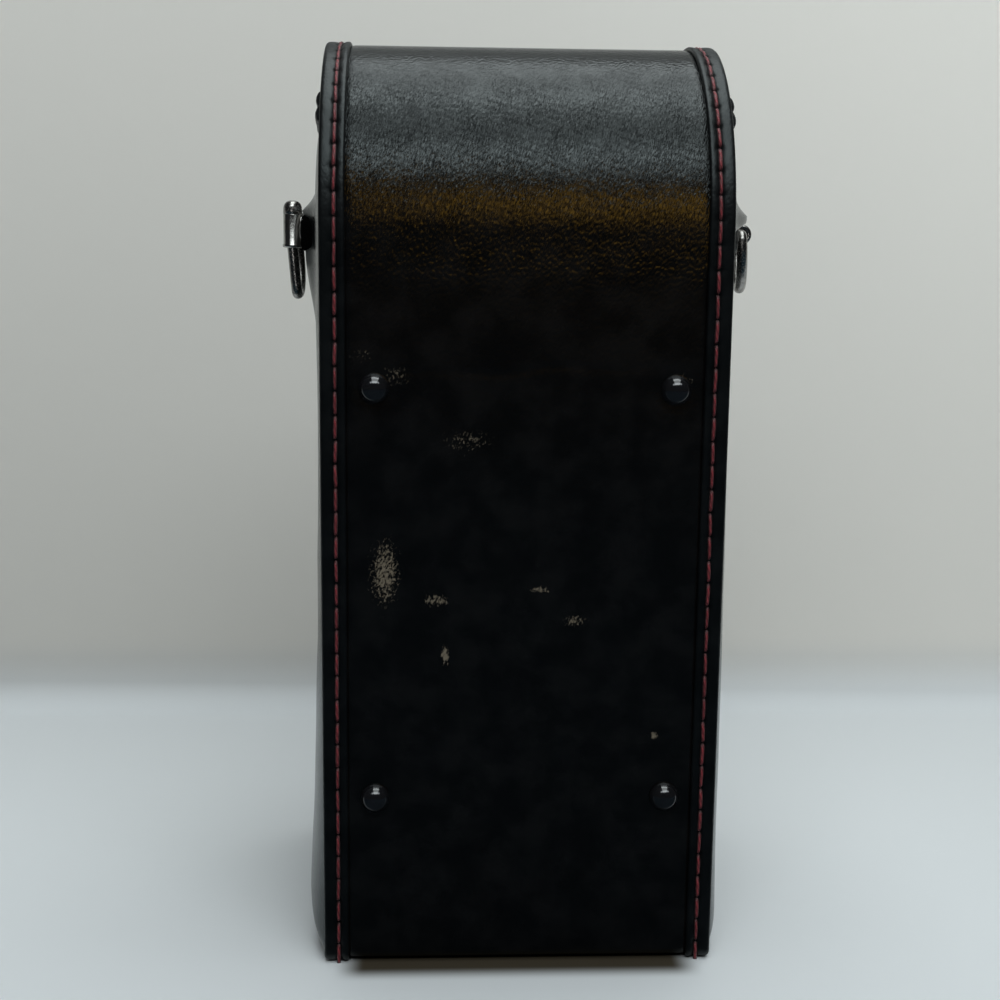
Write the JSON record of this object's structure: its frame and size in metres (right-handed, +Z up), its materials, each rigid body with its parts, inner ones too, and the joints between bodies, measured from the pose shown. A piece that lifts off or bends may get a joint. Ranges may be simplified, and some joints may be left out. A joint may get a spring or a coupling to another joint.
{
  "type": "hard lens case",
  "caption": "Tall hard case for a long lens: arched leatherette box with red-stitched rims, hinged lid, push-button hasp, domed back feet and swivelling strap rings.",
  "frame": {"origin": "centre of the flat base, on the surface that the case stands on", "axes": "+X to the right as seen from the back with the feet, +Y out of the front with the latch, +Z up"},
  "size_m": [0.1322, 0.1081, 0.249],
  "materials": {
    "leatherette": "black grained leatherette, semi-gloss",
    "board": "grey-brown pressed fibreboard",
    "thread": "waxed red thread",
    "foam": "soft dark grey foam",
    "lining": "dark red pile cloth",
    "foot_plastic": "gloss black",
    "lug_steel": "nickel plate, tarnished and worn",
    "latch_chrome": "chrome plate"
  },
  "bodies": {
    "case": {"body_cover": "leatherette", "hinge_leather": "leatherette", "body_band_board": "board", "body_side_board_left": "board", "body_side_board_right": "board", "body_side_cover_left": "leatherette", "body_side_cover_right": "leatherette", "side_stuffing_left": "foam", "side_stuffing_right": "foam", "body_rim_thread_left": "thread", "body_rim_thread_right": "thread", "body_lining": "lining", "mouth_collar": "board", "lens_seat": "foam", "back_feet": "foot_plastic", "foot_washers": "lug_steel", "lug_mound_left": "leatherette", "lug_mound_right": "leatherette", "lug_plate_left": "lug_steel", "lug_plate_right": "lug_steel", "lug_rivets_left": "lug_steel", "lug_rivets_right": "lug_steel", "lug_eyelet_left": "lug_steel", "lug_eyelet_right": "lug_steel", "lock_case": "latch_chrome", "lock_rivets": "latch_chrome", "button_spring": "latch_chrome"},
    "lid": {"lid_cover": "leatherette", "lid_band_board": "board", "lid_side_board_left": "board", "lid_side_board_right": "board", "lid_side_cover_left": "leatherette", "lid_side_cover_right": "leatherette", "lid_side_binding_left": "leatherette", "lid_side_binding_right": "leatherette", "lid_front_binding": "leatherette", "lid_rim_thread_left": "thread", "lid_rim_thread_right": "thread", "lid_binding_thread_left": "thread", "lid_binding_thread_right": "thread", "lid_lining": "lining", "lid_pad": "foam", "hasp_leaf": "latch_chrome", "hasp_rivets": "latch_chrome", "hasp_pin": "latch_chrome"},
    "hasp": {"hasp": "latch_chrome"},
    "button": {"push_button": "latch_chrome"},
    "clip_left": {"swivel_post_left": "lug_steel", "strap_clip_left": "lug_steel"},
    "clip_right": {"swivel_post_right": "lug_steel", "strap_clip_right": "lug_steel"},
    "ring_left": {"strap_ring_left": "lug_steel"},
    "ring_right": {"strap_ring_right": "lug_steel"}
  },
  "joints": [
    {"name": "lid_hinge", "type": "hinge", "parent": "case", "child": "lid", "pos_m": [0, -0.04219, 0.22559], "axis": [1, 0, 0], "range_deg": [0, 110], "deforming": ["hinge_leather"]},
    {"name": "hasp_hinge", "type": "hinge", "parent": "lid", "child": "hasp", "pos_m": [0, 0.0531, 0.2007], "axis": [1, 0, 0], "range_deg": [0, 120]},
    {"name": "button_slide", "type": "slide", "parent": "case", "child": "button", "axis": [0, -1, 0], "range_m": [0, 0.0012], "stiffness_N_per_m": 400, "springref_m": -0.001, "deforming": ["button_spring"]},
    {"name": "swivel_left", "type": "hinge", "parent": "case", "child": "clip_left", "pos_m": [-0.0633, 0, 0.1972], "axis": [1, 0, 0], "continuous": true},
    {"name": "swivel_right", "type": "hinge", "parent": "case", "child": "clip_right", "pos_m": [0.0633, 0, 0.1972], "axis": [1, 0, 0], "continuous": true},
    {"name": "ring_left_hinge", "type": "hinge", "parent": "clip_left", "child": "ring_left", "pos_m": [-0.0633, 0, 0.1916], "axis": [0, 0, 1], "range_deg": [-5, 185]},
    {"name": "ring_right_hinge", "type": "hinge", "parent": "clip_right", "child": "ring_right", "pos_m": [0.0633, 0, 0.1972], "axis": [0, -1, 0], "range_deg": [-5, 185]}
  ]
}
